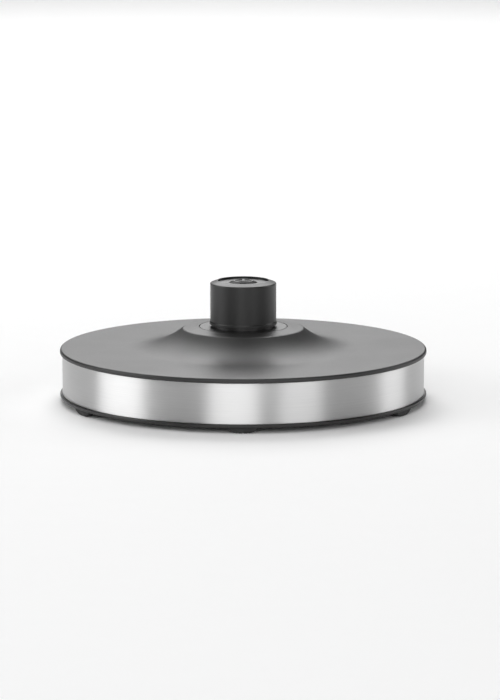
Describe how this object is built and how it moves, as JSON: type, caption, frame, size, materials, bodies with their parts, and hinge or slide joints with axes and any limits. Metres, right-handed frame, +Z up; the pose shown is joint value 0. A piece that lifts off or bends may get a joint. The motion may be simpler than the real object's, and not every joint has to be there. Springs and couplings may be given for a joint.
{
  "type": "kettle power base",
  "caption": "Round cordless power base for an electric kettle, with a central 360 degree connector hub, brushed steel band and rubber feet.",
  "frame": {"origin": "on the resting plane under the axis of the connector hub", "axes": "+Z up along the hub's axis, -Y towards the foot at the front, +X to the right seen from the front"},
  "size_m": [0.16, 0.16, 0.0526],
  "materials": {
    "cover_plastic": "satin moulded",
    "base_plastic": "satin moulded",
    "hub_plastic": "satin moulded",
    "shutter_plastic": "satin moulded",
    "clamp_plastic": "matt moulded",
    "terminal_plastic": "matt moulded",
    "foot_rubber": "matt",
    "brushed_steel": "brushed round the band",
    "screw_steel": "zinc plated",
    "spring_steel": "drawn wire",
    "terminal_brass": "stamped",
    "blade_bronze": "rolled strip",
    "contact_silver": "coined"
  },
  "bodies": {
    "base": {"top_cover": "cover_plastic", "bottom_cover": "base_plastic", "trim_band": "brushed_steel", "connector_housing": "hub_plastic", "terminal_plate": "terminal_plastic", "shutter_spring": "spring_steel", "connector_screws": "screw_steel", "case_screws": "screw_steel", "cord_clamp": "clamp_plastic", "clamp_screws": "screw_steel", "live_terminal": "terminal_brass", "neutral_terminal": "terminal_brass", "earth_terminal": "terminal_brass", "foot_1": "foot_rubber", "foot_2": "foot_rubber", "foot_3": "foot_rubber", "foot_4": "foot_rubber", "foot_5": "foot_rubber", "foot_6": "foot_rubber"},
    "shutter": {"shutter": "shutter_plastic"},
    "live_contact": {"live_blade": "blade_bronze", "live_contact_tip": "contact_silver"},
    "neutral_contact": {"neutral_blade": "blade_bronze", "neutral_contact_tip": "contact_silver"},
    "earth_contact": {"earth_blade": "blade_bronze", "earth_contact_tip": "contact_silver"}
  },
  "joints": [
    {"name": "shutter_press", "type": "slide", "parent": "base", "child": "shutter", "axis": [0, 0, -1], "range_m": [0, 0.008], "stiffness_N_per_m": 80, "springref_m": -0.006, "deforming": ["shutter_spring"]},
    {"name": "live_blade_flex", "type": "hinge", "parent": "base", "child": "live_contact", "pos_m": [0.00833, 0.00481, 0.0208], "axis": [-0.5, 0.866, 0], "range_deg": [0, 1.8], "stiffness_Nm_per_rad": 0.8, "springref_deg": -1.15},
    {"name": "neutral_blade_flex", "type": "hinge", "parent": "base", "child": "neutral_contact", "pos_m": [-0.00833, 0.00481, 0.0208], "axis": [-0.5, -0.866, 0], "range_deg": [0, 1.8], "stiffness_Nm_per_rad": 0.8, "springref_deg": -1.15},
    {"name": "earth_blade_flex", "type": "hinge", "parent": "base", "child": "earth_contact", "pos_m": [0, -0.00962, 0.0208], "axis": [1, 0, 0], "range_deg": [0, 1.8], "stiffness_Nm_per_rad": 0.8, "springref_deg": -1.15}
  ]
}
